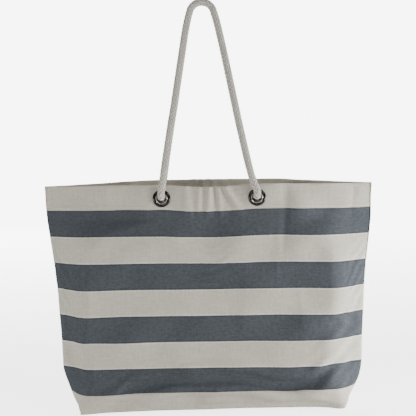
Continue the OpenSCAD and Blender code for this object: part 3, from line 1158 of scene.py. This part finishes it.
def make_knot(face_name, side_name):
    """A stopper knot behind its eyelet, with a whipped and frayed tail."""
    node = f"{face_name}_{side_name}_knot"
    low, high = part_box(node)
    path = knot_path(FACES[face_name], SIDES[side_name] * EYELET_X, low.z + 0.0055)
    piece, line, _ = braid(f"{node}_braid", path, rope_strands, rope_core, rope_r=0.0056)
    down = line[-1] - line[-6]
    down /= np.linalg.norm(down)
    points, faces, uv = wound_thread([line[-1] - down * 0.0065, line[-1] - down * 0.0005], 0.0058, 6)
    whipping = mesh_piece(f"{node}_whipping", points, faces, [thread], uv)
    points, faces, uv = frayed_end(line[-1] - down * 0.001, down, 0.0046, np.random.default_rng(5))
    tuft = mesh_piece(f"{node}_tuft", points, faces, [rope_strands], uv)
    attach(piece, "rope", node)
    attach(whipping, "rope")
    attach(tuft, "rope")


def bound_strip(name, line, inward, node):
    """A bound seam allowance along a line: a strip folded over the raw edges, sewn through."""
    inward = np.broadcast_to(np.asarray(inward, float), line.shape)
    line_run = run_along(line)
    line, run = even_path(line, 0.003)
    along = unit(np.gradient(line, axis=0))
    inward = np.column_stack([np.interp(run, line_run, inward[:, k]) for k in range(3)])
    inward = unit(inward - along * (inward * along).sum(1)[:, None])
    thickness = np.cross(along, inward)
    wave = 0.0004 * np.sin(run * 55) + 0.0002 * np.sin(run * 131 + 2)
    half = 0.00095
    shoulder = TAPE_W - 0.0022
    profile = [(0.0004, -0.0002), (TAPE_W * 0.35, -half * 0.8), (shoulder, -half * 0.92)]
    profile += [
        (TAPE_W - 0.001 + 0.001 * math.sin(a), -half * 1.15 * math.cos(a)) for a in np.linspace(0, math.pi, 6)
    ]
    profile += [(shoulder, half * 0.92), (TAPE_W * 0.35, half * 0.8), (0.0004, 0.0002)]
    points = []
    uv = []
    for i in range(len(line)):
        for deep, aside in profile:
            lean = wave[i] * (deep / TAPE_W)**2
            points.append(line[i] + inward[i] * deep + thickness[i] * (aside + lean))
            uv.append((deep + (0.02 if aside > 0 else 0), run[i] - 1))
    piece = mesh_piece(name, points, tube_faces(len(line), len(profile)), [tape], uv)
    attach(piece, "tape", node)
    deep = TAPE_W - 0.0026
    runs = []
    for i in range(2, len(line) - 1):
        for sign in (1, -1):
            lean = wave[i] * (deep / TAPE_W)**2
            place = line[i] + inward[i] * deep + thickness[i] * (sign * half + lean)
            runs.append((place, along[i], thickness[i] * sign))
    points, faces, uv = stitch_mesh(runs, 0.0022, 0.00024)
    attach(mesh_piece(f"{name}_stitches", points, faces, [thread], uv), "tape")


def make_seams():
    """The bound edges inside the side seams, the bottom seam and the boxed corners."""
    front, back = cloths["front"], cloths["back"]
    for name, sign in SIDES.items():
        v = fine(HEM_H + 0.001, FLAT_H - 0.004, 0.01)
        line = front.raw(np.full(len(v), sign * FLAT_HALF_W), v)
        inside = np.full(len(v), sign * (FLAT_HALF_W - TAPE_W))
        inward = (front.raw(inside, v) + back.raw(inside, v)) / 2 - line
        inward[:, 0] = -sign * TAPE_W
        inward[:, 2] = 0
        line[:, 0] -= sign * 0.0016
        bound_strip(f"{name}_side_binding", line, inward, f"{name}_side_seam_tape")
        v = fine(FLAT_H + BASE_HALF_D - 0.004, FLAT_H + 0.006, 0.006)
        edge = np.full(len(v), sign * BASE_HALF_W)
        line = np.vstack([front.raw(edge, v, base=True), back.raw(edge, v[::-1], base=True)])
        line[:, 2] += 0.0018
        line[:, 0] -= sign * 0.001
        line = line[np.argsort(line[:, 1])]
        keep = np.concatenate([[True], np.diff(line[:, 1]) > 0.002])
        bound_strip(
            f"{name}_corner_binding", line[keep], (-sign * 0.45, 0, 0.9), f"{name}_corner_seam_tape",
        )
    u = fine(-BASE_HALF_W + 0.012, BASE_HALF_W - 0.012, 0.01)
    line = front.raw(u, np.full(len(u), FLAT_H + BASE_HALF_D), base=True)
    line[:, 2] += 0.0018
    bound_strip("bottom_binding", line, (0, 0.8, 0.6), "bottom_seam_tape")


for face_name in FACES:
    make_panel(face_name)
for face_name in FACES:
    make_facing(face_name)
for face_name in FACES:
    make_hem_stitches(face_name)
    for side_name in SIDES:
        make_eyelet(face_name, side_name)
        make_washer(face_name, side_name)
        make_knot(face_name, side_name)
make_seams()


# ---------------------------------------------------------------------------
# Studio
# ---------------------------------------------------------------------------

def area_light(name, place, aim, size, power):
    light = bpy.data.lights.new(name, "AREA")
    light.shape = "DISK"
    light.size = size
    light.energy = power
    lamp = bpy.data.objects.new(name, light)
    bpy.context.scene.collection.objects.link(lamp)
    lamp.visible_camera = False
    lamp.location = place
    lamp.rotation_euler = (Vector(aim) - Vector(place)).to_track_quat("-Z", "Y").to_euler()


def make_studio():
    floor_r = 2.8
    turn = 1.2
    around = circle(64)
    rings = (0.0001, 0.5, 1.0, 1.6, 2.2, floor_r)
    points = [(r * c, r * s, 0) for r in rings for c, s in around]
    faces = grid_faces(len(rings), len(around), closed_cols=True)
    behind = np.radians(np.linspace(-8, 188, 48))
    profile = [
        (floor_r + turn * math.sin(a), turn * (1 - math.cos(a))) for a in np.linspace(0, math.pi / 2, 12)
    ]
    profile += [(floor_r + turn, 4.0)]
    faces += grid_faces(len(profile), len(behind), first=len(points))
    points += [(r * math.cos(a), r * math.sin(a), z) for r, z in profile for a in behind]
    mesh_piece("studio_floor", points, faces, [floor_material()])
    area_light("key", (1.30, -1.00, 1.10), (0, 0, 0.25), 0.6, 12.2)
    area_light("side", (0.80, -0.18, 0.05), (0.15, 0, 0.10), 0.35, 14)
    area_light("fill", (-0.50, -1.50, 0.80), (0, 0, 0.25), 0.6, 4.0)
    area_light("edge", (-1.00, -0.65, 0.05), (-0.1, 0, 0.10), 0.4, 8.5)
    area_light("overhead", (0, -0.45, 1.9), (0, -0.2, 0), 0.7, 2)
    area_light("floor", (0, 1.1, 2.4), (0, 0.7, 0), 1.6, 10)
    area_light("back", (-0.7, 1.8, 0.7), (0, 0, 0.15), 0.8, 12)
    world = bpy.data.worlds.new("studio")
    world.use_nodes = True
    tree = world.node_tree
    seen = tree.nodes.new("ShaderNodeLightPath").outputs["Is Camera Ray"]
    strength = tree.nodes.new("ShaderNodeMapRange")
    strength.inputs[3].default_value = 0.05
    strength.inputs[4].default_value = 5.0
    tree.links.new(seen, strength.inputs[0])
    tree.links.new(strength.outputs[0], tree.nodes["Background"].inputs[1])
    tree.nodes["Background"].inputs[0].default_value = (1, 1, 1, 1)
    bpy.context.scene.world = world


make_studio()
